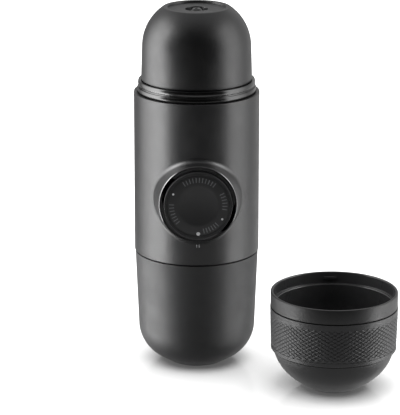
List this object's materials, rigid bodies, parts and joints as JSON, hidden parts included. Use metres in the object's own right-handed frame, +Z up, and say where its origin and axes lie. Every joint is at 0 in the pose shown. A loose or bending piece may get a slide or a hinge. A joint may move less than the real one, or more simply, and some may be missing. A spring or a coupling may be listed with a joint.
{
  "type": "handheld manual espresso maker",
  "caption": "Pocket espresso maker with a push-out hand pump, screw-on water tank, domed outlet head over a filter basket, and a cup that doubles as its cap.",
  "frame": {"origin": "centre of the water tank's flat foot, on the axis of the pump body", "axes": "+Z up along the pump body to the outlet head; the pump's piston leaves the body along -Y; the cup stands beside it towards +X"},
  "size_m": [0.1211, 0.0986, 0.1708],
  "materials": {
    "satin_plastic": "fine satin moulded, charcoal black",
    "knurled_plastic": "moulded diamond knurl, charcoal black",
    "knob_plastic": "satin moulded, black",
    "gloss_plastic": "polished black",
    "inner_plastic": "moulded dark grey, as from the tool",
    "seal_rubber": "matt grey silicone",
    "steel": "plain stainless"
  },
  "bodies": {
    "water_tank": {"tank_shell": "satin_plastic"},
    "main_body": {"base_plate": "inner_plastic", "tank_seal": "seal_rubber", "vent_valve": "seal_rubber", "intake_strainer": "steel", "body_shell": "satin_plastic", "lock_ring": "gloss_plastic", "neck_collar": "gloss_plastic", "group_head": "inner_plastic", "shower_screen": "steel", "screen_screw": "steel", "group_gasket": "seal_rubber", "pump_frame": "inner_plastic", "chassis_screws": "steel", "cylinder_cap": "inner_plastic", "return_spring": "steel", "valve_block": "inner_plastic", "inlet_spring": "steel", "outlet_spring": "steel", "inlet_hose": "seal_rubber", "outlet_hose": "seal_rubber"},
    "piston": {"piston_rod": "steel", "piston_seal": "seal_rubber", "knob_screw": "steel"},
    "knob": {"knob_body": "knob_plastic", "knob_face": "knob_plastic"},
    "inlet_ball": {"inlet_ball": "steel"},
    "outlet_ball": {"outlet_ball": "steel"},
    "filter_basket": {"filter_basket": "steel"},
    "outlet_head": {"outlet_dome": "satin_plastic", "outlet_liner": "inner_plastic", "outlet_nozzle": "inner_plastic", "crema_spring": "steel"},
    "crema_valve": {"crema_valve": "inner_plastic"},
    "cup": {"cup_bowl": "satin_plastic", "cup_grip_band": "knurled_plastic"}
  },
  "joints": [
    {"name": "tank_unscrew", "type": "slide", "parent": "water_tank", "child": "main_body", "axis": [0, 0, 1], "range_m": [0, 0.045]},
    {"name": "head_unscrew", "type": "slide", "parent": "main_body", "child": "outlet_head", "axis": [0, 0, 1], "range_m": [0, 0.045]},
    {"name": "basket_lift", "type": "slide", "parent": "main_body", "child": "filter_basket", "axis": [0, 0, 1], "range_m": [0, 0.02]},
    {"name": "piston_stroke", "type": "slide", "parent": "main_body", "child": "piston", "axis": [0, -1, 0], "range_m": [0, 0.021], "deforming": ["return_spring"]},
    {"name": "knob_turn", "type": "hinge", "parent": "piston", "child": "knob", "pos_m": [0, -0.036, 0.08555], "axis": [0, 1, 0], "range_deg": [0, 61]},
    {"name": "inlet_ball_lift", "type": "slide", "parent": "main_body", "child": "inlet_ball", "axis": [0, 0, 1], "range_m": [0, 0.0012], "stiffness_N_per_m": 20, "springref_m": -0.001, "deforming": ["inlet_spring"]},
    {"name": "outlet_ball_lift", "type": "slide", "parent": "main_body", "child": "outlet_ball", "axis": [0, 0, 1], "range_m": [0, 0.0012], "stiffness_N_per_m": 20, "springref_m": -0.001, "deforming": ["outlet_spring"]},
    {"name": "crema_valve_lift", "type": "slide", "parent": "outlet_head", "child": "crema_valve", "axis": [0, 0, 1], "range_m": [0, 0.0015], "stiffness_N_per_m": 20, "springref_m": -0.001, "deforming": ["crema_spring"]},
    {"name": "cup_lift", "type": "slide", "parent": "water_tank", "child": "cup", "axis": [0, 0, 1], "range_m": [0, 0.06]}
  ],
  "couplings": [
    {"joint": "basket_lift", "follows": "head_unscrew", "ratio": 0.4444}
  ]
}
